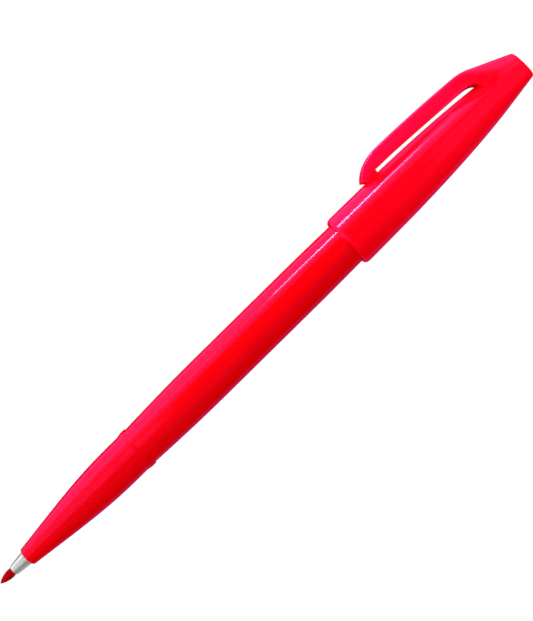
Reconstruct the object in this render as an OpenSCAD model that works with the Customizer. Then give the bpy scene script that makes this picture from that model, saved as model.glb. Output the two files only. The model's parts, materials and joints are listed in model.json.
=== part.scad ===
// Brush pen lying on its side, with its clipped cap posted on the tail.
// X runs along the pen from the tip (0) to the cap's closed end.
// The clip points along +Y before the pen is laid down, and Z is up.

/* [Tip] */
// Length of the fibre tip that stands out of the collar
tip_l = 3.7; // [3:0.1:4.5]
// Diameter of the fibre tip
tip_d = 1.86; // [1.7:0.02:1.9]
// Length of the metal collar's visible cone
collar_l = 3.8; // [3:0.1:5]
// Diameter of the collar where it meets the grip
collar_d = 3.12; // [2.8:0.02:3.3]

/* [Grip section] */
// Length of the grip from its mouth to the back of its ring
grip_l = 31.7; // [28:0.1:36]
// Diameter of the grip's mouth
mouth_d = 4.1; // [3.9:0.05:4.6]
// Diameter of the grip behind the fingers
grip_d = 8.84; // [8.6:0.02:9]
// Diameter of the ring that the closed cap stops against
ring_d = 9.26; // [9.1:0.02:9.6]

/* [Barrel] */
// Length of the barrel from the ring to its closed tail
barrel_l = 83.8; // [75:0.1:95]
// Diameter of the barrel's widest stretch
barrel_d = 9.74; // [9.6:0.02:9.9]
// Diameter of the barrel's tail
tail_d = 9.2; // [9:0.02:9.3]
// Diameter of the barrel's bore
bore_d = 7.5; // [7.2:0.02:7.7]

/* [Ink] */
// Diameter of the fibre reservoir
reservoir_d = 5.9; // [5:0.1:6]

/* [Cap] */
// Length of the cap
cap_l = 50; // [49:0.05:53]
// Diameter of the cap's mouth
cap_d = 11.6; // [11.5:0.05:12]
// Length of the barrel that the posted cap covers
overlap = 26.05; // [24:0.05:26.2]

/* [Clip] */
// Width of the clip
clip_w = 4.8; // [4:0.1:5.2]
// Height of the clip's outer face above the pen's axis
clip_h = 9.54; // [9.4:0.02:9.8]
// Thickness of the clip
clip_t = 3.14; // [2.8:0.02:3.2]

/* [Hidden] */
$fn = 96;

// Gap between fixed pieces, and between pieces that move on one another
fit_gap = 0.02;
run_gap = 0.06;

// Stations along the pen
collar_x = tip_l;
grip_x = collar_x + collar_l;
ring_x = grip_x + grip_l;
tail_x = ring_x + barrel_l;
cap_x = tail_x - overlap;
end_x = cap_x + cap_l;

// Fibre tip: it turns about a round seat just inside the collar's mouth
tip_r = tip_d / 2;
seat_r = tip_r - 0.03;
seat_x = collar_x;
stem_r = 0.85;
stem_x = seat_x + seat_r + run_gap;
stem_end = 40;

// Collar: its shank goes into the grip and is held there by a bead
collar_r = collar_d / 2;
collar_lip_t = 0.1;
collar_lip_r = seat_r + run_gap + collar_lip_t;
collar_seat_l = 0.3;
shank_l = 8.5;
shank_r = collar_r - 0.1;
bead_x = grip_x + 4;
bead_l = 1;
bead_r = collar_r + 0.2;

// Grip
mouth_r = mouth_d / 2;
grip_r = grip_d / 2;
ring_r = ring_d / 2;
ring_flare = 2.4;
spigot_l = 8;
stem_bore_r = 1.6;
chamber_x = grip_x + 20;

// Barrel
barrel_r = barrel_d / 2;
tail_r = tail_d / 2;
bore_r = bore_d / 2;
plug_head = 3.5;
plug_l = 6;
plug_t = 1.2;
plug_bevel = [0.6, 0.3];
plug_x = tail_x - plug_head - plug_l;
rib_count = 6;
rib_w = 0.7;
rib_x = ring_x + spigot_l + 2;
rib_l = barrel_l - spigot_l - plug_head - plug_l - 12;

// Ink
reservoir_r = reservoir_d / 2;
film_t = 0.08;
reservoir_x = chamber_x + 1;
reservoir_l = plug_x - 1 - reservoir_x;
film_inset = 0.5;
stem_socket = 0.2;

// Cap
cap_r = cap_d / 2;
cap_end_r = 2.66;
cap_lean = 0.26;
cavity_r = 4.96;
cavity_bevel = 0.3;
// The cavity narrows between two stations, down to the land that grips the tail
narrow_x = cap_x + 12;
land_x = cap_x + 16;
land_end_x = tail_x - 1.9;
land_r = tail_r + run_gap;
liner_x = tail_x + 0.5;
liner_l = 12.5;
liner_t = 0.7;
liner_r = 4.4;
liner_end_r = 3.1;
pocket_radii = [3.3, 2.6, 2.35, 2.2];
pocket_lead = 0.7;
pocket_seat = 6;

// Clip, in the plane through the pen's axis
clip_foot_x = cap_x + 10.25;
clip_top_x = clip_foot_x + 7.1;
clip_bend_x = cap_x + 37.85;
slit_x = cap_x + 14.2;
slit_end_x = cap_x + 40.65;
clip_corner_r = 1.3;
clip_end_h = 3.88;
foot_h = 6.6;
foot_heel = [1.8, 5];
pivot = [cap_x + 41.45, 7.76];
pivot_root = [cap_x + 39.9, 4.9];
hinge_gap = 0.04;

// A pen lying down rests on its clip and on the cap's mouth
rest_roll = asin(cap_r / norm([clip_h - 0.3, clip_w / 2])) - atan(clip_w / 2 / (clip_h - 0.3));

// A point on a cubic curve
function curve_at(p, t) =
  pow(1 - t, 3) * p[0] + 3 * t * pow(1 - t, 2) * p[1] + 3 * t * t * (1 - t) * p[2] + pow(t, 3) * p[3];

// The points of a cubic curve, in n steps
function curve(p, n = 12) = [for (i = [0 : n]) curve_at(p, i / n)];

// Turns a profile of [x, radius] points about the pen's axis
module turned(profile) {
  rotate([0, 90, 0])
    rotate_extrude()
      polygon([for (p = profile) [p[1], p[0]]]);
}

// A plain rod along the pen's axis
module rod(x, l, r) {
  translate([x, 0, 0])
    rotate([0, 90, 0])
      cylinder(h = l, r = r);
}

// A side view in the X-Y plane, as thick as w
module side_plate(points, w) {
  translate([0, 0, -w / 2])
    linear_extrude(w)
      polygon(points);
}

// Lays the whole pen down on its clip
module laid() {
  rotate([-rest_roll, 0, 0])
    children();
}

function grip_outline() = concat(
  [[grip_x, mouth_r - 0.3], [grip_x + 0.12, mouth_r - 0.1]],
  curve([
    [grip_x + 0.4, mouth_r], [grip_x + 12.4, mouth_r + 1.5],
    [ring_x - 13.3, grip_r], [ring_x - 5.3, grip_r]
  ], 20),
  curve([
    [ring_x - ring_flare, grip_r], [ring_x - 1.9, grip_r + 0.02],
    [ring_x - 1.7, ring_r - 0.04], [ring_x - 1, ring_r]
  ], 8),
  [[ring_x - 0.12, ring_r], [ring_x, ring_r - 0.1]]
);

function barrel_outline() = concat(
  curve([
    [ring_x, grip_r - 0.02], [ring_x + 6.8, grip_r + 0.24],
    [ring_x + 11.8, barrel_r], [ring_x + 20.8, barrel_r]
  ], 16),
  curve([
    [cap_x - 13, barrel_r], [cap_x - 7, barrel_r],
    [cap_x - 3, barrel_r - 0.11], [cap_x + 1, barrel_r - 0.13]
  ], 10),
  [[cap_x + 14, tail_r], [tail_x - plug_head, tail_r]]
);

function cap_outline() = concat(
  curve([
    [cap_x, cap_r - 0.45], [cap_x + 0.25, cap_r - 0.12],
    [cap_x + 0.6, cap_r], [cap_x + 1.4, cap_r]
  ], 6),
  curve([
    [cap_x + 9, cap_r - 0.08], [cap_x + 21, cap_r - 0.15],
    [cap_x + 33, cap_r - 0.84], [cap_x + 41.1, cap_r - 1.88]
  ], 20),
  curve([
    [cap_x + 41.6, cap_r - 1.95], [cap_x + 44.1, cap_r - 2.3],
    [cap_x + 47.1, cap_r - 2.74], [end_x - 0.5, cap_end_r + 0.05]
  ], 8),
  [[end_x - 0.2, cap_end_r - 0.14], [end_x, cap_end_r - 0.5]]
);

function clip_outline() = concat(
  curve([
    [clip_foot_x, foot_h], [clip_foot_x + 1, 8],
    [clip_foot_x + 3.5, clip_h], [clip_top_x, clip_h]
  ], 14),
  curve([
    [clip_top_x + 1, clip_h - 0.01], [clip_top_x + 7, clip_h - 0.1],
    [clip_bend_x - 7, clip_h - 0.42], [clip_bend_x - 1, clip_h - 0.86]
  ], 10),
  curve([
    [clip_bend_x, clip_h - 0.94], [clip_bend_x + 1.5, clip_h - 1.09],
    [clip_bend_x + 2.4, clip_h - 1.28], [clip_bend_x + 3.6, clip_h - 1.78]
  ], 8),
  [[end_x - 0.5, clip_end_h + 0.22], [end_x - 0.2, clip_end_h - 0.05], [end_x, clip_end_h - 0.45]]
);

// The gap between the clip and the cap, seen from the side
function slit_outline() = concat(
  [[slit_x, 0], [slit_x, 6.15], [slit_x + 0.1, 6.32], [slit_x + 0.35, 6.42]],
  curve([
    [slit_x + 5.5, clip_h - clip_t - 0.08], [slit_x + 11.2, clip_h - clip_t - 0.32],
    [slit_x + 17.4, clip_h - clip_t - 0.76], [slit_x + 22.6, 5.38]
  ], 8),
  curve([
    [slit_end_x - 2.6, 5.27], [slit_end_x - 1.4, 5.17],
    [slit_end_x - 0.4, 4.85], [slit_end_x, 4.1]
  ], 8),
  [[slit_end_x, 0]]
);

// The clip seen from above, with its foot's corners rounded
module clip_plan() {
  translate([clip_foot_x + clip_corner_r, -clip_w / 2])
    square([end_x - clip_foot_x, clip_w]);
  translate([clip_foot_x, -clip_w / 2 + clip_corner_r])
    square([2 * clip_corner_r, clip_w - 2 * clip_corner_r]);
  for (side = [-1, 1])
    translate([clip_foot_x + clip_corner_r, side * (clip_w / 2 - clip_corner_r)])
      circle(clip_corner_r);
}

// The clip and the cap's sloping top, crowned about the pen's axis
module clip_blank() {
  intersection() {
    turned(concat([[clip_foot_x, 0]], clip_outline(), [[end_x, 0]]));
    rotate([-90, 0, 0])
      linear_extrude(clip_h + 1)
        clip_plan();
  }
}

// The cap's outside without its clip, which leans a little towards the clip
module cap_outside(gap = 0) {
  translate([cap_x, 0, 0])
    rotate([0, 0, cap_lean])
      translate([-cap_x, 0, 0])
        turned(concat([[cap_x, 0]], [for (p = cap_outline()) [p[0], p[1] + gap]], [[end_x, 0]]));
}

module fibre_tip() {
  nose = curve([[0, 0.06], [0.3, 0.27], [1.3, tip_r], [2.9, tip_r]], 16);
  seat = [for (i = [0 : 10]) [seat_x + seat_r * sin(9 * i), seat_r * cos(9 * i)]];
  color("crimson")
    laid()
      turned(concat([[0, 0]], nose, seat));
}

module tip_stem() {
  color("crimson")
    laid()
      rod(stem_x, stem_end - stem_x, stem_r);
}

module tip_collar() {
  color("silver")
    laid()
      difference() {
        union() {
          turned([
            [collar_x, 0], [collar_x, collar_lip_r], [collar_x + 0.15, collar_lip_r + 0.06],
            [grip_x - 0.1, collar_r], [grip_x + collar_seat_l, collar_r],
            [grip_x + collar_seat_l, shank_r], [grip_x + shank_l, shank_r], [grip_x + shank_l, 0]
          ]);
          rod(bead_x, bead_l, bead_r);
        }
        rod(collar_x - 1, stem_x - collar_x + 1, seat_r + run_gap);
        rod(stem_x - 0.01, grip_x + shank_l - stem_x + 1, stem_r + fit_gap);
      }
}

module grip_section() {
  color("red")
    laid()
      difference() {
        union() {
          turned(concat([[grip_x, 0]], grip_outline(), [[ring_x, 0]]));
          rod(ring_x - 1, spigot_l + 1, bore_r - fit_gap);
        }
        rod(grip_x - 1, shank_l + 2, shank_r + fit_gap);
        rod(grip_x - 1, 1 + collar_seat_l + 0.05, collar_r + fit_gap);
        rod(bead_x - fit_gap, bead_l + 2 * fit_gap, bead_r + fit_gap);
        rod(grip_x + shank_l + fit_gap, chamber_x - grip_x - shank_l + 1, stem_bore_r);
        rod(chamber_x, ring_x + spigot_l - chamber_x + 1, reservoir_r + film_t + 3 * fit_gap);
      }
}

module barrel() {
  color("red")
    laid() {
      difference() {
        turned(concat([[ring_x, 0]], barrel_outline(), [[tail_x - plug_head, 0]]));
        rod(ring_x - 1, barrel_l + 2, bore_r);
      }
      // Ribs that hold the reservoir on the axis and leave air around it
      for (i = [0 : rib_count - 1])
        rotate([360 / rib_count * i, 0, 0])
          translate([rib_x, -rib_w / 2, reservoir_r + film_t + 2 * fit_gap])
            cube([rib_l, rib_w, bore_r - reservoir_r]);
    }
}

module tail_plug() {
  color("red")
    laid()
      difference() {
        turned(concat(
          [[plug_x, 0], [plug_x, bore_r - plug_bevel[1]]],
          [[plug_x + plug_bevel[0], bore_r - fit_gap], [tail_x - plug_head, bore_r - fit_gap]],
          [[tail_x - plug_head, tail_r]],
          curve([
            [tail_x - 3, tail_r], [tail_x - 1.2, tail_r],
            [tail_x, tail_r - 1], [tail_x, tail_r - 2.2]
          ], 8),
          [[tail_x, 0]]
        ));
        rod(plug_x - 1, plug_l, bore_r - plug_t);
      }
}

module ink_reservoir() {
  color("darkred")
    laid()
      difference() {
        rod(reservoir_x, reservoir_l, reservoir_r);
        rod(reservoir_x - 1, stem_end - reservoir_x + 1 + stem_socket, stem_r + fit_gap);
      }
}

module reservoir_film() {
  color("whitesmoke")
    laid()
      difference() {
        rod(reservoir_x + film_inset, reservoir_l - 2 * film_inset, reservoir_r + film_t + fit_gap);
        rod(reservoir_x - 1, reservoir_l + 2, reservoir_r + fit_gap);
      }
}

module cap_shell() {
  color("red")
    laid()
      difference() {
        union() {
          cap_outside();
          difference() {
            clip_blank();
            side_plate(slit_outline(), clip_w + 2);
            side_plate([
              pivot + [0, 3], pivot, pivot_root, [cap_x, pivot_root[1]], [cap_x, clip_h + 3]
            ], clip_w + 2);
          }
        }
        turned([
          [cap_x - 1, 0], [cap_x - 1, cavity_r + cavity_bevel], [cap_x + cavity_bevel, cavity_r],
          [narrow_x, cavity_r], [land_x, land_r], [land_end_x, land_r],
          [liner_x, liner_r], [liner_x + liner_l, liner_end_r], [liner_x + liner_l, 0]
        ]);
      }
}

module inner_cap() {
  color("white")
    laid()
      difference() {
        turned([
          [liner_x + 0.1, 0], [liner_x + 0.1, liner_r - 2 * fit_gap],
          [liner_x + liner_l - fit_gap, liner_end_r - fit_gap], [liner_x + liner_l - fit_gap, 0]
        ]);
        turned([
          [liner_x - 1, 0], [liner_x - 1, pocket_radii[0]], [liner_x + pocket_lead, pocket_radii[1]],
          [liner_x + pocket_seat, pocket_radii[2]], [liner_x + liner_l - liner_t, pocket_radii[3]],
          [liner_x + liner_l - liner_t, 0]
        ]);
      }
}

module pocket_clip() {
  color("red")
    laid()
      difference() {
        clip_blank();
        side_plate(slit_outline(), clip_w + 2);
        cap_outside(run_gap);
        side_plate([
          [clip_foot_x - 1, foot_h], [clip_foot_x, foot_h],
          [clip_foot_x + foot_heel[0], foot_heel[1]], [clip_foot_x - 1, foot_heel[1]]
        ], clip_w + 2);
        side_plate([
          pivot + [-hinge_gap, 3], pivot + [-hinge_gap, 0], pivot_root + [-hinge_gap, 0],
          [cap_x, pivot_root[1]], [cap_x, 0], [end_x + 2, 0], [end_x + 2, clip_h + 3]
        ], clip_w + 2);
      }
}

fibre_tip();
tip_stem();
tip_collar();
grip_section();
barrel();
tail_plug();
ink_reservoir();
reservoir_film();
cap_shell();
inner_cap();
pocket_clip();
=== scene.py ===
import json
import math

import bmesh
import bpy
import numpy as np
from mathutils import Matrix, Vector


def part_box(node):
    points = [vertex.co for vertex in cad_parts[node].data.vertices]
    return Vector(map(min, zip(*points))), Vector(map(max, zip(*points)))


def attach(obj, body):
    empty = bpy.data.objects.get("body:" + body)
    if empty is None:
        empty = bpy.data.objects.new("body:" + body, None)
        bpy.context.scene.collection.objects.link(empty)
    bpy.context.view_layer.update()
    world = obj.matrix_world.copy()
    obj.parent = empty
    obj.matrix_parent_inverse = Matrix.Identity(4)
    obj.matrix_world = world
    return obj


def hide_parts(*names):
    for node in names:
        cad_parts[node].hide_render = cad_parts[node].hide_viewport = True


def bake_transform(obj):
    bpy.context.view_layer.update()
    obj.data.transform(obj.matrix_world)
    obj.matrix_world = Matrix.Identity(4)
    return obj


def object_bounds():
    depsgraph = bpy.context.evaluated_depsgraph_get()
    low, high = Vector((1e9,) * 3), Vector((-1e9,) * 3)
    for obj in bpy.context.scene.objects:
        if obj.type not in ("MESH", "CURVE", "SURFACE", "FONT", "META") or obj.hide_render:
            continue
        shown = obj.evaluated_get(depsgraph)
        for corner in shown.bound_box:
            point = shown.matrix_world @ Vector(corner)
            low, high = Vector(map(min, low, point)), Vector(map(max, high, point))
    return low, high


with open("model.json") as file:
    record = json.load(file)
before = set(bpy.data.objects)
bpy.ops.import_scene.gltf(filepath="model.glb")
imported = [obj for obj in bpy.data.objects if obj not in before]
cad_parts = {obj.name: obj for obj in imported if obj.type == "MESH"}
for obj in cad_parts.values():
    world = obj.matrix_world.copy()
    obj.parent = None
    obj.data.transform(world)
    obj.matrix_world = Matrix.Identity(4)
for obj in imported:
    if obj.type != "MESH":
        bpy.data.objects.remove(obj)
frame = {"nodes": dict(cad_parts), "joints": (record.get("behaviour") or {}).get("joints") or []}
cad_lo, cad_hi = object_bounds()
MM = 0.001
SIDES = 192
TURNED_SHARP = 32
MOULDED_SHARP = 34
AXIS_R = 1e-4

# ---------------------------------------------------------------- the pen's own axes
joints = {j["name"]: j for j in frame["joints"]}
clip_joint = joints["clip_flex"]
side = -Vector(clip_joint["axis"]).normalized()
along = Vector((1, 0, 0))
out = side.cross(along).normalized()
pivot = Vector(clip_joint["pos_m"])


def row(x, h, w):
    """A point x mm along the pen, h mm towards the clip and w mm sideways, in the row frame."""
    return along * (x * MM) + out * (h * MM) + side * (w * MM)


def low_x(node):
    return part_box(node)[0].x / MM


def high_x(node):
    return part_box(node)[1].x / MM


def round_r(node):
    lo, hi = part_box(node)
    return max(hi.z - lo.z, hi.y - lo.y) / 2 / MM


tip_x = low_x("fibre_tip")
collar_x = low_x("tip_collar")
grip_x = low_x("grip_section")
ring_x = low_x("barrel")
tail_x = high_x("tail_plug")
head_x = high_x("barrel")
pivot_h = pivot.dot(out) / MM
pivot_to_mouth = 41.45
cap_x = pivot.x / MM - pivot_to_mouth
end_x = high_x("cap_shell")
barrel_r = round_r("barrel")
ring_r = round_r("grip_section")
tail_r = round_r("tail_plug")
tip_r = round_r("fibre_tip")
cap_r = -cad_lo.z / MM
ring_step = 0.21
grip_r = ring_r - ring_step
mouth_r = 2.05
collar_r = 1.56
bore_r = 3.75
cap_end_r = 2.66
cap_lean = math.radians(0.26)
cap_edge_r = 0.14
clip_w = 4.8
clip_h = pivot_h + 1.78
clip_corner_r = 1.3
foot_h = 6.6
slope_end_h = 3.88
heel_l = 1.8
heel_rise = 1.6
clip_foot_x = low_x("pocket_clip")
clip_top_x = clip_foot_x + 7.1
clip_bend_x = cap_x + 37.85
slit_x = cap_x + 14.2
slit_end_x = cap_x + 40.65


# ---------------------------------------------------------------- curves and meshes
def curve(start, pull, push, end, n):
    """Points [x, radius] on a cubic from start to end, with two handles between them."""
    t = np.linspace(0, 1, n + 1)[:, None]
    p = np.array([start, pull, push, end], float)
    return (1 - t) ** 3 * p[0] + 3 * t * (1 - t) ** 2 * p[1] + 3 * t * t * (1 - t) * p[2] + t**3 * p[3]


def arc(cx, cr, r, a0, a1, n):
    """Points [x, radius] on a circle, from angle a0 to a1 in degrees, 0 along +x."""
    a = np.radians(np.linspace(a0, a1, n + 1))
    return np.stack([cx + r * np.cos(a), cr + r * np.sin(a)], axis=1)


def mesh_object(name, points, faces, sharp):
    """A smooth object from points in metres, faces turned outwards, with edges over an angle kept sharp."""
    mesh = bpy.data.meshes.new(name)
    mesh.from_pydata([tuple(p) for p in points], [], faces)
    mesh.validate()
    shaped = bmesh.new()
    shaped.from_mesh(mesh)
    bmesh.ops.recalc_face_normals(shaped, faces=shaped.faces)
    shaped.to_mesh(mesh)
    shaped.free()
    mesh.update()
    mesh.shade_smooth()
    mesh.set_sharp_from_angle(angle=math.radians(sharp))
    made = bpy.data.objects.new(name, mesh)
    bpy.context.scene.collection.objects.link(made)
    return made


def loft(name, rings, closed_ends=True, sharp=TURNED_SHARP):
    """A closed skin through rings of equally many points, each point in pen coordinates."""
    n = len(rings[0])
    points = [row(*p) for ring in rings for p in ring]
    faces = []
    for i in range(len(rings) - 1):
        a, b = i * n, (i + 1) * n
        for j in range(n):
            k = (j + 1) % n
            faces.append((a + j, a + k, b + k, b + j))
    ends = (0, len(rings) - 1) if closed_ends else ()
    for i in ends:
        points.append(row(*np.array(rings[i], float).mean(0)))
        c = len(points) - 1
        for j in range(n):
            k = (j + 1) % n
            faces.append((i * n + k, i * n + j, c) if i == 0 else (i * n + j, i * n + k, c))
    return mesh_object(name, points, faces, sharp)


def circle_ring(x, r, n=SIDES):
    a = np.linspace(0, 2 * math.pi, n, endpoint=False)
    return np.stack([np.full(n, x), r * np.cos(a), r * np.sin(a)], axis=1)


def turned(name, profile, n=SIDES):
    """A skin turned about the pen's axis from [x, radius] points, which start and end near the axis."""
    return loft(name, [circle_ring(x, max(r, AXIS_R), n) for x, r in profile])


def tube(name, outer, inner, n=SIDES):
    """A turned skin with an outside and a bore, both [x, radius] lists that run from low x to high x."""
    rings = [circle_ring(x, r, n) for x, r in outer + inner[::-1]]
    return loft(name, [*rings, rings[0]], closed_ends=False)


# ---------------------------------------------------------------- materials
GLOSS_TINT = (1.0, 0.13, 0.80)
# Painted light: the cap's red made brighter and pinker towards its end, where the fill light falls
PAINTED_END_LIGHT = (1.0, 0.0004, 0.008)
# Painted sheen on the cap's side towards the clip
PAINTED_CLIP_SIDE_SHEEN = (1.0, 0.0012, 0.024)
# Painted reflection: a pale magenta glow on the cap under the clip
PAINTED_UNDER_CLIP_GLOW = (1.0, 0.010, 0.120)
# Painted sheen on the clip's top
PAINTED_CLIP_TOP_SHEEN = (1.0, 0.0020, 0.044)
# Painted shade in the fold below the slot's end
PAINTED_FOLD_SHADE = (0.40, 0.0, 0.0)

# Painted reflection: how light the collar is painted, from its side away from the clip to its clip side, in
# bands of light and shade
COLLAR_PAINTED_REFLECTION_GREYS = (
    (0.02, 0.80),
    (0.10, 0.95),
    (0.22, 0.60),
    (0.32, 0.50),
    (0.45, 0.82),
    (0.58, 0.70),
    (0.68, 0.50),
    (0.78, 0.68),
    (0.88, 0.46),
    (0.96, 0.34),
)


def material(name):
    mat = bpy.data.materials.new(name)
    mat.use_nodes = True
    nt = mat.node_tree
    nt.nodes.clear()
    out_node = nt.nodes.new("ShaderNodeOutputMaterial")
    shader = nt.nodes.new("ShaderNodeBsdfPrincipled")
    nt.links.new(shader.outputs[0], out_node.inputs[0])
    return mat, nt, shader


def add(nt, kind, **values):
    node = nt.nodes.new(kind)
    for key, value in values.items():
        if key in node.inputs:
            node.inputs[key].default_value = value
        else:
            setattr(node, key, value)
    return node


def position(nt):
    return add(nt, "ShaderNodeTexCoord").outputs["Object"]


def stretched(nt, scale):
    mapping = add(nt, "ShaderNodeMapping", Scale=scale)
    nt.links.new(position(nt), mapping.inputs[0])
    return mapping.outputs[0]


def noise(nt, vector, scale, detail=3.0, rough=0.5):
    node = add(nt, "ShaderNodeTexNoise", Scale=scale, Detail=detail, Roughness=rough)
    nt.links.new(vector, node.inputs["Vector"])
    return node.outputs[0]


def ranged(nt, value, low, high, start=0.0, end=1.0):
    """A value mapped to low..high as it goes from start to end, and held beyond them."""
    node = add(nt, "ShaderNodeMapRange")
    node.inputs["From Min"].default_value = start
    node.inputs["From Max"].default_value = end
    node.inputs["To Min"].default_value = low
    node.inputs["To Max"].default_value = high
    nt.links.new(value, node.inputs["Value"])
    return node.outputs[0]


def rising(nt, value, start, end):
    return ranged(nt, value, 0, 1, start, end)


def falling(nt, value, start, end):
    return ranged(nt, value, 1, 0, start, end)


def product(nt, *factors):
    total = factors[0]
    for factor in factors[1:]:
        node = add(nt, "ShaderNodeMath", operation="MULTIPLY")
        nt.links.new(total, node.inputs[0])
        nt.links.new(factor, node.inputs[1])
        total = node.outputs[0]
    return total


def difference(nt, value, less):
    node = add(nt, "ShaderNodeMath", operation="SUBTRACT")
    nt.links.new(value, node.inputs[0])
    nt.links.new(less, node.inputs[1])
    return node.outputs[0]


def colour_mix(nt, **values):
    """A colour mix node, with its two colour inputs and its colour output."""
    node = add(nt, "ShaderNodeMix", data_type="RGBA", **values)
    first, second = [s for s in node.inputs if s.type == "RGBA"]
    return node, first, second, [s for s in node.outputs if s.type == "RGBA"][0]


def mixed(nt, factor, a, b):
    """Colour a where a factor is 0 and colour b where it is 1."""
    node, first, second, result = colour_mix(nt)
    first.default_value = (*a, 1)
    second.default_value = (*b, 1)
    nt.links.new(factor, node.inputs["Factor"])
    return result


def over(nt, factor, colour, top):
    """A colour with another over it, by a factor from 0 to 1."""
    node, first, second, result = colour_mix(nt)
    nt.links.new(factor, node.inputs["Factor"])
    nt.links.new(colour, first)
    second.default_value = (*top, 1)
    return result


def bumped(nt, shader, height, strength, distance):
    node = add(nt, "ShaderNodeBump", Strength=strength, Distance=distance)
    nt.links.new(height, node.inputs["Height"])
    nt.links.new(node.outputs[0], shader.inputs["Normal"])


def dot_with(nt, vector, direction):
    node = add(nt, "ShaderNodeVectorMath", operation="DOT_PRODUCT")
    node.inputs[1].default_value = direction
    nt.links.new(vector, node.inputs[0])
    return node.outputs["Value"]


def height_of(nt):
    """How far a point stands from the pen's axis towards the clip, in millimetres."""
    return dot_with(nt, position(nt), out / MM)


def station_of(nt):
    """How far a point stands along the pen, in millimetres."""
    return dot_with(nt, position(nt), along / MM)


def facing_clip(nt):
    """1 where the pen's round faces the clip, 0 at its sides and -1 on the far side."""
    flat = add(nt, "ShaderNodeVectorMath", operation="MULTIPLY")
    flat.inputs[1].default_value = (0, 1, 1)
    unit = add(nt, "ShaderNodeVectorMath", operation="NORMALIZE")
    nt.links.new(position(nt), flat.inputs[0])
    nt.links.new(flat.outputs[0], unit.inputs[0])
    return dot_with(nt, unit.outputs[0], out)


def under_clip_glow_mask(nt):
    """A soft mask, from 0 to 1, for the painted pale reflection on the stretch of the cap that faces the
    clip.
    """
    station = station_of(nt)
    facing = rising(nt, facing_clip(nt), 0.80, 0.95)
    after = rising(nt, station, slit_x - 0.5, slit_x + 2)
    before = falling(nt, station, slit_end_x - 8, slit_end_x - 0.5)
    on_cap = add(nt, "ShaderNodeMath", operation="LESS_THAN")
    on_cap.inputs[1].default_value = cap_r + 0.1
    nt.links.new(height_of(nt), on_cap.inputs[0])
    return product(nt, facing, after, before, on_cap.outputs[0])


def fold_shade_mask(nt):
    """A soft mask for the painted shade in the fold that runs down from the slot's end, between the clip's
    root and the cap.
    """
    station = station_of(nt)
    fold_h = ranged(nt, station, 4.6, 3.2, slit_end_x - 2.2, slit_end_x + 1.2)
    depth = difference(nt, fold_h, height_of(nt))
    top = rising(nt, depth, -0.2, 0.2)
    bottom = falling(nt, depth, 0.5, 1.7)
    after = rising(nt, station, slit_end_x - 4.5, slit_end_x - 1.0)
    before = falling(nt, station, slit_end_x, slit_end_x + 1.8)
    return product(nt, top, bottom, after, before)


def mirrors_clip(nt):
    """A soft mask for the band of the cap that mirrors the clip instead of the lights; there the gloss and
    the painted sheen are turned down as painted shade.
    """
    station, height = station_of(nt), height_of(nt)
    lower_h = ranged(nt, station, 3.6, 1.6, slit_end_x - 8, slit_end_x - 1)
    upper_h = ranged(nt, station, 6.4, 4.8, slit_x - 0.5, slit_x + 1.5)
    above = rising(nt, difference(nt, height, lower_h), 0.0, 0.25)
    below = falling(nt, difference(nt, height, upper_h), -0.3, 0.3)
    after = rising(nt, station, clip_foot_x - 0.5, clip_foot_x + 2.5)
    before = falling(nt, station, slit_end_x + 2, slit_end_x + 5)
    return product(nt, above, below, after, before)


def cap_painted_light(nt, colour):
    """The cap's red with painted light: brighter towards its end, a painted sheen towards the clip and on
    the clip's top, a painted pale reflection under the clip and painted shade in the fold.
    """
    station, height = station_of(nt), height_of(nt)
    # painted light: brighter and pinker towards the cap's end
    colour = over(nt, rising(nt, station, cap_x + 5, cap_x + 33), colour, PAINTED_END_LIGHT)
    near = ranged(nt, station, 1, 0.15, slit_end_x - 6, slit_end_x + 0.5)
    plain = ranged(nt, mirrors_clip(nt), 1.0, 0.15)
    # painted sheen on the side towards the clip, faded near the slot's end and where the clip is mirrored
    lift = product(nt, rising(nt, height, 2.5, 6.0), near, plain)
    colour = over(nt, lift, colour, PAINTED_CLIP_SIDE_SHEEN)
    # painted reflection: pale glow under the clip
    colour = over(nt, under_clip_glow_mask(nt), colour, PAINTED_UNDER_CLIP_GLOW)
    # painted sheen: the clip's upper part pinker
    colour = over(nt, rising(nt, height, 6.8, 9.4), colour, PAINTED_CLIP_TOP_SHEEN)
    # painted shade in the fold
    return over(nt, fold_shade_mask(nt), colour, PAINTED_FOLD_SHADE)


def red_plastic(name, deep, bright, is_cap=False):
    """Red plastic with faint streaks under a tinted gloss; the cap's also has painted light, sheen,
    reflection and shade by the clip, and painted shade on its gloss where it mirrors the clip.
    """
    mat, nt, shader = material(name)
    streaks = noise(nt, stretched(nt, (12, 160, 160)), 6.0, detail=2.0)
    colour = mixed(nt, rising(nt, streaks, 0.35, 0.65), deep, bright)
    share = add(nt, "ShaderNodeFresnel", IOR=1.5).outputs[0]
    if is_cap:
        colour = cap_painted_light(nt, colour)
        # painted shade on the gloss where the cap would mirror the clip
        share = product(nt, share, ranged(nt, mirrors_clip(nt), 1.0, 0.1))
    nt.links.new(colour, shader.inputs["Base Color"])
    shader.inputs["Roughness"].default_value = 0.6
    shader.inputs["Specular IOR Level"].default_value = 0.0
    gloss = add(nt, "ShaderNodeBsdfGlossy", Color=(*GLOSS_TINT, 1))
    fine = noise(nt, stretched(nt, (1, 1, 1)), 2400.0, detail=2.0)
    nt.links.new(ranged(nt, fine, 0.10, 0.15), gloss.inputs["Roughness"])
    waves = noise(nt, stretched(nt, (0.35, 1, 1)), 320.0, detail=2.0)
    bumped(nt, gloss, waves, strength=0.015, distance=0.00004)
    both = add(nt, "ShaderNodeMixShader")
    for socket, target in zip((share, shader.outputs[0], gloss.outputs[0]), both.inputs):
        nt.links.new(socket, target)
    output = [n for n in nt.nodes if n.type == "OUTPUT_MATERIAL"][0]
    nt.links.new(both.outputs[0], output.inputs[0])
    return mat


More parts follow.
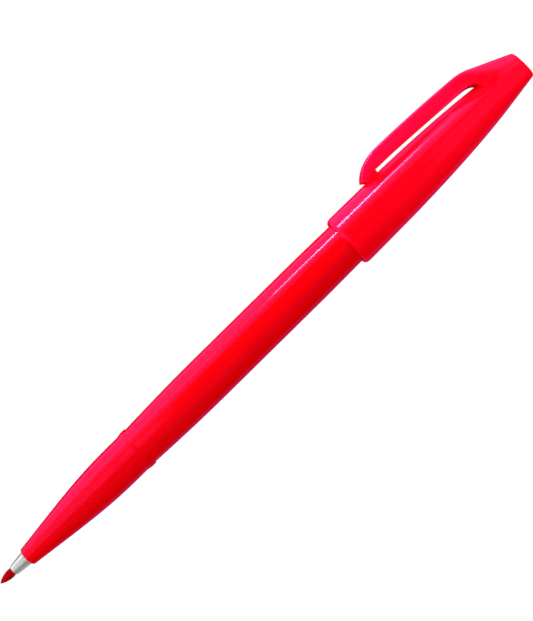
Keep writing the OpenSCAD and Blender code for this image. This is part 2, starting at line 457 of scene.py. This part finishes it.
def fibre(name, dark, light, grain=2200.0, stretch=0.22):
    mat, nt, shader = material(name)
    strands = noise(nt, stretched(nt, (stretch, 1, 1)), grain, rough=0.6)
    nt.links.new(mixed(nt, rising(nt, strands, 0.35, 0.7), dark, light), shader.inputs["Base Color"])
    nt.links.new(ranged(nt, strands, 0.5, 0.7), shader.inputs["Roughness"])
    shader.inputs["Specular IOR Level"].default_value = 0.08
    shader.inputs["Specular Tint"].default_value = (1.0, 0.1, 0.3, 1)
    bumped(nt, shader, strands, strength=0.35, distance=0.00003)
    return mat


def satin_metal(name):
    """Brushed metal with painted reflection: greys that run round it in bands of light and shade."""
    mat, nt, shader = material(name)
    bands = add(nt, "ShaderNodeValToRGB")
    ramp = bands.color_ramp
    while len(ramp.elements) < len(COLLAR_PAINTED_REFLECTION_GREYS):
        ramp.elements.new(0.5)
    for element, (place, grey) in zip(ramp.elements, COLLAR_PAINTED_REFLECTION_GREYS):
        element.position = place
        element.color = (grey * 0.98, grey, grey * 0.975, 1)
    nt.links.new(rising(nt, facing_clip(nt), -1.0, 1.0), bands.inputs[0])
    lines = noise(nt, stretched(nt, (0.03, 1, 1)), 2600.0, rough=0.65)
    grained, first, second, result = colour_mix(nt, blend_type="MULTIPLY")
    grained.inputs["Factor"].default_value = 0.35
    nt.links.new(bands.outputs[0], first)
    nt.links.new(lines, second)
    nt.links.new(result, shader.inputs["Base Color"])
    nt.links.new(ranged(nt, lines, 0.24, 0.36), shader.inputs["Roughness"])
    shader.inputs["Metallic"].default_value = 0.45
    bumped(nt, shader, lines, strength=0.25, distance=0.00003)
    return mat


def satin_plastic(name, dark, light):
    mat, nt, shader = material(name)
    fine = noise(nt, stretched(nt, (1, 1, 1)), 1400.0)
    nt.links.new(mixed(nt, fine, dark, light), shader.inputs["Base Color"])
    nt.links.new(ranged(nt, fine, 0.3, 0.45), shader.inputs["Roughness"])
    bumped(nt, shader, fine, strength=0.1, distance=0.00002)
    return mat


def film(name):
    mat, nt, shader = material(name)
    wrinkles = noise(nt, stretched(nt, (1, 0.3, 0.3)), 700.0, detail=2.0)
    nt.links.new(mixed(nt, wrinkles, (0.78, 0.76, 0.76), (0.92, 0.9, 0.9)), shader.inputs["Base Color"])
    nt.links.new(ranged(nt, wrinkles, 0.1, 0.25), shader.inputs["Roughness"])
    shader.inputs["Alpha"].default_value = 0.5
    return mat


red_body = red_plastic("body_red", (0.70, 0.0, 0.0004), (0.75, 0.0, 0.0008))
red_cap = red_plastic("cap_red", (0.86, 0.0, 0.002), (0.90, 0.0, 0.003), is_cap=True)
tip_look = fibre("tip_fibre_look", (0.24, 0.0, 0.001), (0.46, 0.0, 0.006))
ink_look = fibre("ink_fibre_look", (0.20, 0.0, 0.01), (0.34, 0.01, 0.03), grain=900.0, stretch=0.05)
metal_look = satin_metal("collar_look")
liner_look = satin_plastic("liner_look", (0.72, 0.72, 0.70), (0.84, 0.84, 0.82))
film_look = film("film_look")


def dress(made, look):
    made.data.materials.clear()
    made.data.materials.append(look)


def piece(made, look, body, node):
    """Dresses a piece, rides it on its body and puts it in the place of a CAD node."""
    dress(made, look)
    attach(made, body)
    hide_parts(node)


# ---------------------------------------------------------------- tip and collar
nose = curve([tip_x, 0.06], [tip_x + 0.3, 0.27], [tip_x + 1.3, tip_r], [tip_x + 2.9, tip_r], 48)
seat_r = tip_r - 0.03
seat = [
    [collar_x + seat_r * math.sin(a), seat_r * math.cos(a)] for a in np.linspace(0, math.pi / 2 - 0.02, 20)
]
tip = turned("fibre_tip_look", [*nose, *seat], n=96)
piece(tip, tip_look, "tip", "fibre_tip")

lip_r = seat_r + 0.16
socket_r = seat_r + 0.06
shank_r = collar_r - 0.1
shank_end_x = grip_x + 4
collar_line = [
    [collar_x, lip_r - 0.03],
    [collar_x + 0.04, lip_r],
    [collar_x + 0.15, lip_r + 0.06],
    *curve(
        [collar_x + 0.2, lip_r + 0.07],
        [collar_x + 1.4, lip_r + 0.22],
        [grip_x - 1.2, collar_r - 0.13],
        [grip_x - 0.1, collar_r],
        12,
    ),
    [grip_x + 0.3, collar_r],
    [grip_x + 0.31, shank_r],
    [shank_end_x, shank_r],
]
socket_line = [[collar_x, socket_r], [collar_x + 1, socket_r], [shank_end_x, socket_r]]
collar = tube("tip_collar_look", collar_line, socket_line, n=128)
piece(collar, metal_look, "pen", "tip_collar")

# ---------------------------------------------------------------- grip and barrel
rim_r = 0.38
grip_bore_r = collar_r + 0.02
grip_line = [
    *arc(grip_x + rim_r, mouth_r - rim_r, rim_r, 180, 100, 10),
    *curve(
        [grip_x + 0.5, mouth_r + 0.01],
        [grip_x + 12.4, mouth_r + 1.5],
        [ring_x - 13.3, grip_r],
        [ring_x - 5.3, grip_r],
        60,
    ),
    *curve(
        [ring_x - 2.4, grip_r],
        [ring_x - 1.9, grip_r + 0.02],
        [ring_x - 1.7, ring_r - 0.04],
        [ring_x - 1, ring_r],
        16,
    ),
    *curve(
        [ring_x - 0.25, ring_r],
        [ring_x - 0.1, ring_r],
        [ring_x, ring_r - 0.06],
        [ring_x, ring_r - 0.14],
        10,
    ),
    [ring_x, bore_r],
]
grip_bore = [
    [grip_x, mouth_r - 0.4],
    [grip_x + 0.3, grip_bore_r],
    [grip_x + 3, grip_bore_r],
    [ring_x, grip_bore_r],
]
grip = tube("grip_section_look", grip_line, grip_bore)
piece(grip, red_body, "pen", "grip_section")

barrel_line = [
    *curve(
        [ring_x, grip_r - 0.02],
        [ring_x + 6.8, grip_r + 0.24],
        [ring_x + 11.8, barrel_r],
        [ring_x + 20.8, barrel_r],
        48,
    ),
    *curve(
        [cap_x - 13, barrel_r],
        [cap_x - 7, barrel_r],
        [cap_x - 3, barrel_r - 0.11],
        [cap_x + 1, barrel_r - 0.13],
        32,
    ),
    [cap_x + 14, tail_r],
    [head_x, tail_r],
]
barrel = tube("barrel_look", barrel_line, [[ring_x, bore_r], [head_x, bore_r]])
piece(barrel, red_body, "pen", "barrel")

plug_line = [
    [head_x + 0.02, 0.01],
    [head_x + 0.02, tail_r - 0.04],
    [head_x + 0.08, tail_r],
    *curve([tail_x - 3, tail_r], [tail_x - 1.2, tail_r], [tail_x, tail_r - 1], [tail_x, tail_r - 2.2], 24),
    [tail_x, 0.01],
]
plug = turned("tail_plug_look", plug_line)
piece(plug, red_body, "pen", "tail_plug")


# ---------------------------------------------------------------- cap and clip
def on_line(points, x):
    return np.interp(x, points[:, 0], points[:, 1])


# The cap's radius, the clip's height and the height of the slot's upper face, each along the pen
cap_line = np.array(
    [
        *curve(
            [cap_x, cap_r - 0.45],
            [cap_x + 0.25, cap_r - 0.12],
            [cap_x + 0.6, cap_r],
            [cap_x + 1.4, cap_r],
            20,
        ),
        *curve(
            [cap_x + 1.5, cap_r],
            [cap_x + 4, cap_r - 0.02],
            [cap_x + 6.5, cap_r - 0.05],
            [cap_x + 8.9, cap_r - 0.08],
            12,
        ),
        *curve(
            [cap_x + 9, cap_r - 0.08],
            [cap_x + 21, cap_r - 0.15],
            [cap_x + 33, cap_r - 0.84],
            [cap_x + 41.1, cap_r - 1.88],
            90,
        ),
        *curve(
            [cap_x + 41.6, cap_r - 1.95],
            [cap_x + 44.1, cap_r - 2.3],
            [cap_x + 47.1, cap_r - 2.74],
            [end_x, cap_end_r],
            30,
        ),
    ]
)
clip_line = np.array(
    [
        *curve(
            [clip_foot_x, foot_h],
            [clip_foot_x + 1, 8],
            [clip_foot_x + 3.5, clip_h],
            [clip_top_x, clip_h],
            60,
        ),
        *curve(
            [clip_top_x + 1, clip_h - 0.01],
            [clip_top_x + 7, clip_h - 0.1],
            [clip_bend_x - 7, clip_h - 0.42],
            [clip_bend_x - 1, clip_h - 0.86],
            40,
        ),
        *curve(
            [clip_bend_x, clip_h - 0.94],
            [clip_bend_x + 1.5, clip_h - 1.09],
            [clip_bend_x + 2.4, clip_h - 1.28],
            [clip_bend_x + 3.6, clip_h - 1.78],
            30,
        ),
        [end_x, slope_end_h],
    ]
)
slit_line = np.array(
    [
        [slit_x, 6.15],
        [slit_x + 0.03, 6.24],
        [slit_x + 0.1, 6.32],
        [slit_x + 0.2, 6.38],
        [slit_x + 0.35, 6.42],
        *curve(
            [slit_x + 5.5, clip_h - 3.22],
            [slit_x + 11.2, clip_h - 3.46],
            [slit_x + 17.4, clip_h - 3.9],
            [slit_x + 22.6, 5.38],
            40,
        ),
        *curve(
            [slit_end_x - 2.6, 5.27],
            [slit_end_x - 1.4, 5.17],
            [slit_end_x - 0.4, 4.85],
            [slit_end_x, 4.1],
            24,
        ),
    ]
)

# More points near the clip's corners, where the cap's outline turns fast
even_angles = np.linspace(-math.pi, math.pi, 144, endpoint=False)
corner_angles = np.linspace(0.22, 0.95, 90)
cap_angles = np.unique(np.round(np.concatenate([even_angles, corner_angles, -corner_angles]), 5))


def smooth(value, low, high):
    t = np.clip((value - low) / (high - low), 0, 1)
    return t * t * (3 - 2 * t)


def axis_lift(x):
    """How far the cap's own axis stands from the pen's, towards the clip: the posted cap leans a little."""
    return (x - cap_x) * math.tan(cap_lean)


def body_polar(x, angle):
    """The cap's round outside, as a distance from the pen's axis at an angle from the clip's side."""
    lift = axis_lift(x)
    r = on_line(cap_line, x)
    return lift * np.cos(angle) + np.sqrt(np.maximum(r * r - (lift * np.sin(angle)) ** 2, 0))


def crowned(half, height, angle, power):
    """A block's outline about the pen's axis, from its half width and height; a high power is square."""
    width = np.minimum(half / np.maximum(np.abs(np.sin(angle)), 1e-6), 50.0)
    width = np.where(np.cos(angle) > 0, width, 0.1)
    return (width ** (-power) + height ** (-power)) ** (-1 / power)


def egg_polar(x, angle):
    """The cap's end, as tall as the clip's root above the axis and as the round below it."""
    r = on_line(cap_line, x)
    u = smooth(x, slit_end_x, end_x)
    tall = np.where(np.cos(angle) > 0, on_line(clip_line, x), r - axis_lift(x))
    half = r * (1 - 0.02 * u)
    power = np.where(np.cos(angle) > 0, 2.0 + 0.5 * u, 2.0 + 0.6 * u)
    up, across = np.abs(np.cos(angle)) / tall, np.abs(np.sin(angle)) / half
    return (up**power + across**power) ** (-1 / power)


def soft_max(a, b, k):
    """The larger of two outlines, with a blend k wide where they cross."""
    gap = np.maximum(k - np.abs(a - b), 0)
    return np.maximum(a, b) + gap * gap / (4 * k)


def clip_power(x):
    """How square the clip's top edges are: sharp along the clip, round on the slope behind it."""
    square, rounded = 40.0, 3.2
    return square * (rounded / square) ** float(smooth(x, clip_bend_x, clip_bend_x + 6))


# The fillet between the clip's root and the cap, and how much wider it grows down the slope
fillet = 0.12
slope_fillet = 2.6


def polar_ring(x, r):
    return np.stack([np.full(len(cap_angles), x), r * np.cos(cap_angles), r * np.sin(cap_angles)], axis=1)


def cap_ring(x, with_root=True, shrink=0.0):
    """The cap's outline across the pen at x, with the clip's root or without it."""
    r = body_polar(x, cap_angles)
    if with_root:
        root = crowned(clip_w / 2, on_line(clip_line, x), cap_angles, clip_power(x))
        blend = fillet + slope_fillet * float(smooth(x, slit_end_x, slit_end_x + 5))
        r = soft_max(r, root, blend)
        u = float(smooth(x, slit_end_x - 0.2, slit_end_x + 4.0))
        r = (1 - u) * r + u * egg_polar(x, cap_angles)
    return polar_ring(x, np.maximum(r - shrink, 0.01))


cap_rings = [cap_ring(end_x, shrink=2.2), cap_ring(end_x, shrink=1.2)]
for a in np.linspace(0, math.pi / 2, 9):
    x = end_x - cap_edge_r * (1 - math.cos(a))
    cap_rings.append(cap_ring(x, shrink=cap_edge_r * (1 - math.sin(a))))
for x in np.linspace(end_x - 0.9, slit_end_x, 46):
    cap_rings.append(cap_ring(x))
body_x = np.concatenate(
    [
        np.linspace(slit_end_x - 0.001, cap_x + 2.2, 90),
        np.linspace(cap_x + 1.9, cap_x + 0.05, 16),
        [cap_x],
    ]
)
for x in body_x:
    cap_rings.append(cap_ring(x, with_root=False))
cavity_r = 4.96
land_r = tail_r + 0.06
cavity = [
    [cap_x, 5.22],
    [cap_x + 0.12, 5.05],
    [cap_x + 0.35, cavity_r],
    [cap_x + 12, cavity_r],
    [cap_x + 16, land_r],
    [tail_x - 1.9, land_r],
    [tail_x + 0.5, 4.4],
    [tail_x + 13, 3.1],
]
for x, r in cavity:
    cap_rings.append(polar_ring(x, r))
cap = loft("cap_shell_look", cap_rings, sharp=MOULDED_SHARP)
piece(cap, red_cap, "cap", "cap_shell")

CROWN_POINTS = 61
FLOOR_POINTS = 41
WALL_POINTS = 6
clip_edge_r = 0.18
cap_gap = 0.06


def crown_points(x, half, top):
    """The clip's crowned top at x, from one side to the other."""
    spread = np.linspace(-1, 1, CROWN_POINTS)
    w = half * np.sign(spread) * (1 - (1 - np.abs(spread)) ** 2.2)
    angle = np.arctan2(w, top)
    for _ in range(3):
        r = crowned(half, top, angle, clip_power(x))
        angle = np.arcsin(np.clip(w * 0.9999 / r, -1, 1))
    return np.stack([np.full(CROWN_POINTS, x), r * np.cos(angle), r * np.sin(angle)], axis=1)


def floor_points(x, wide, inset, ceiling):
    """The clip's underside at x: the slot's upper face, the foot's slope or just clear of the cap."""
    across = np.linspace(wide, -wide, FLOOR_POINTS)
    clear_r = on_line(cap_line, x) + cap_gap
    cap_top = axis_lift(x) + np.sqrt(np.maximum(clear_r**2 - across**2, 0))
    floor = np.full(FLOOR_POINTS, on_line(slit_line, x) if x > slit_x else 0.0)
    if x <= clip_foot_x + 1.7:
        floor = np.maximum(floor, foot_h - (x - clip_foot_x) * heel_rise / heel_l)
    low = np.maximum(floor, cap_top) + inset
    round_off = np.clip((np.abs(across) - (wide - clip_edge_r)) / clip_edge_r, 0, 1)
    low = low + clip_edge_r * (1 - np.sqrt(1 - np.minimum(round_off, 0.98) ** 2))
    return np.stack([np.full(FLOOR_POINTS, x), np.minimum(low, ceiling), across], axis=1)


def clip_ring(x, inset=0.0):
    """The clip's outline across the pen at x: its crown, its flat sides and its underside."""
    half = clip_w / 2
    ahead = clip_foot_x + clip_corner_r - x
    if ahead > 0:
        half = half - clip_corner_r + math.sqrt(max(clip_corner_r**2 - ahead**2, 0.0))
    upper = crown_points(x, max(half - inset, 0.05), on_line(clip_line, x) - inset)
    wide = np.abs(upper[:, 2]).max()
    lower = floor_points(x, wide, inset, upper[0][1] - 0.02)
    down = np.linspace(0, 1, WALL_POINTS + 2)[1:-1]
    right_h = upper[-1][1] + (lower[0][1] - upper[-1][1]) * down
    left_h = lower[-1][1] + (upper[0][1] - lower[-1][1]) * down
    right = np.stack([np.full(WALL_POINTS, x), right_h, np.full(WALL_POINTS, wide)], axis=1)
    left = np.stack([np.full(WALL_POINTS, x), left_h, np.full(WALL_POINTS, -wide)], axis=1)
    return np.concatenate([upper, right, lower, left])


clip_xs = np.concatenate(
    [
        clip_foot_x + 0.005 + 2.2 * np.linspace(0, 1, 34) ** 1.8,
        np.linspace(clip_foot_x + 2.35, slit_x - 0.02, 14),
        slit_x + np.array([0.001, 0.03, 0.06, 0.1, 0.15, 0.2, 0.3, 0.45]),
        np.linspace(slit_x + 0.8, slit_end_x - 3, 46),
        np.linspace(slit_end_x - 2.8, slit_end_x - 0.4, 18),
        slit_end_x - np.array([0.3, 0.22, 0.15, 0.1, 0.06, 0.03, 0.01, 0.0]),
    ]
)
clip_rings = [clip_ring(x) for x in clip_xs]
clip_rings.append(clip_ring(slit_end_x + 0.01, 0.02))
clip_rings.append(clip_ring(slit_end_x + 0.5, 0.04))
clip = loft("pocket_clip_look", clip_rings, sharp=MOULDED_SHARP)
dress(clip, red_cap)
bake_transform(clip)
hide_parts("pocket_clip")

# ---------------------------------------------------------------- inner pieces, as the CAD made them
for node, look, slot in (
    ("tip_stem", tip_look, "tip_fibre"),
    ("ink_reservoir", ink_look, "ink_fibre"),
    ("reservoir_film", film_look, "clear_film"),
    ("inner_cap", liner_look, "liner_plastic"),
):
    dress(frame["nodes"][node], look)

# ---------------------------------------------------------------- floor and light
floor_z = cad_lo.z
floor_gap = 0.00002
middle_x = 0.07
bpy.ops.mesh.primitive_plane_add(size=6, location=(middle_x, 0, floor_z - floor_gap))
floor = bpy.context.object
floor.name = "floor"
mat, nt, shader = material("floor_white")
shader.inputs["Base Color"].default_value = (0.05, 0.05, 0.05, 1)
shader.inputs["Roughness"].default_value = 0.9
shader.inputs["Specular IOR Level"].default_value = 0.0
shader.inputs["Emission Color"].default_value = (1, 1, 1, 1)
shader.inputs["Emission Strength"].default_value = 1.0
dress(floor, mat)

world = bpy.data.worlds.new("studio")
bpy.context.scene.world = world
world.use_nodes = True
background = world.node_tree.nodes["Background"]
background.inputs["Color"].default_value = (1, 1, 1, 1)
background.inputs["Strength"].default_value = 0.40

centre = row(76.19, 1.58, 0)


def lamp_at(name, place, toward, length, height, radiance):
    """A rectangular light at a place in the row frame, its long side along the pen where it can be."""
    data = bpy.data.lights.new(name, "AREA")
    data.shape = "RECTANGLE"
    data.size, data.size_y = length, height
    data.energy = radiance * length * height * math.pi
    lamp = bpy.data.objects.new(name, data)
    bpy.context.scene.collection.objects.link(lamp)
    back = (place - toward).normalized()
    x_axis = along - back * along.dot(back)
    if x_axis.length < 0.3:
        x_axis = out - back * out.dot(back)
    x_axis.normalize()
    turn = Matrix((x_axis, back.cross(x_axis), back)).transposed()
    lamp.matrix_world = Matrix.Translation(place) @ turn.to_4x4()
    lamp.visible_camera = False
    return lamp


def softbox(name, direction, distance, size, radiance):
    """A softbox whose direction is given along the pen, towards the clip and towards the viewer."""
    a, h, w = direction
    where = (along * a + out * h + side * w).normalized()
    return lamp_at(name, centre + where * distance, centre, size[0], size[1], radiance)


softbox("key", (0.0, 0.82, 0.57), 0.9, (1.6, 0.50), 1.0)
softbox("key_low", (0.0, 0.90, 0.44), 0.8, (1.6, 0.22), 1.2)
fill = softbox("fill", (0.0, -0.55, 0.80), 0.9, (1.4, 0.7), 1.2)
fill.visible_glossy = False
top = softbox("top", (0.0, 0.45, 0.85), 0.9, (1.4, 0.6), 0.9)
top.visible_glossy = False
softbox("end_left", (-1, 0.35, 0.45), 0.9, (0.8, 0.6), 1.2)
softbox("end_right", (1, 0.35, 0.45), 0.9, (0.8, 0.6), 1.2)
softbox("top_left", (-0.42, 0.25, 0.87), 0.9, (0.4, 0.6), 0.8)
softbox("top_right", (0.50, -0.1, 0.86), 0.9, (0.34, 0.9), 0.4)

# Strips laid end to end beside the clip make the thin line of light along the cap
strip_ends = (80, 94, 118, 133, 146)
strip_height = 0.005
beside_clip = Vector((0, 0.055, -0.0028))
for i, radiance in enumerate((66.0, 125.0, 36.0, 8.0)):
    low, high = strip_ends[i : i + 2]
    spot = row((low + high) / 2, 0, 0) + beside_clip
    aim = Vector((spot.x, 0, -0.001))
    strip = lamp_at("strip_%d" % i, spot, aim, (high - low) * MM, strip_height, radiance)
    strip.data.color = (0.5, 1.0, 0.38)

# The floor lights the pen evenly; only panels under it are mirrored in the gloss
floor.visible_glossy = False
world.cycles_visibility.glossy = False
for name, y, radiance in (("glow_clip_side", 0.359, 2.2), ("glow_far_side", -0.355, 0.3)):
    spot = Vector((middle_x, y, floor_z - 0.004))
    glow = lamp_at(name, spot, spot + Vector((0, 0, 1)), 1.6, 0.7, radiance)
    glow.visible_diffuse = False

# ---------------------------------------------------------------- camera
SENSOR = 24
tilt = math.radians(44.56)
right = along * math.cos(tilt) - out * math.sin(tilt)
up = along * math.sin(tilt) + out * math.cos(tilt)
distance = 0.25
view_height = 0.1242
camera = bpy.data.cameras.new("camera")
camera.sensor_fit = "VERTICAL"
camera.sensor_height = SENSOR
camera.lens = SENSOR * distance / view_height
camera.clip_start = 0.01
camera.clip_end = 20
eye = bpy.data.objects.new("camera", camera)
bpy.context.scene.collection.objects.link(eye)
look = Matrix((right, up, side)).transposed().to_4x4()
eye.matrix_world = Matrix.Translation(centre + side * distance) @ look
bpy.context.scene.camera = eye

bpy.context.scene.view_settings.view_transform = "Standard"
bpy.context.scene.view_settings.look = "None"
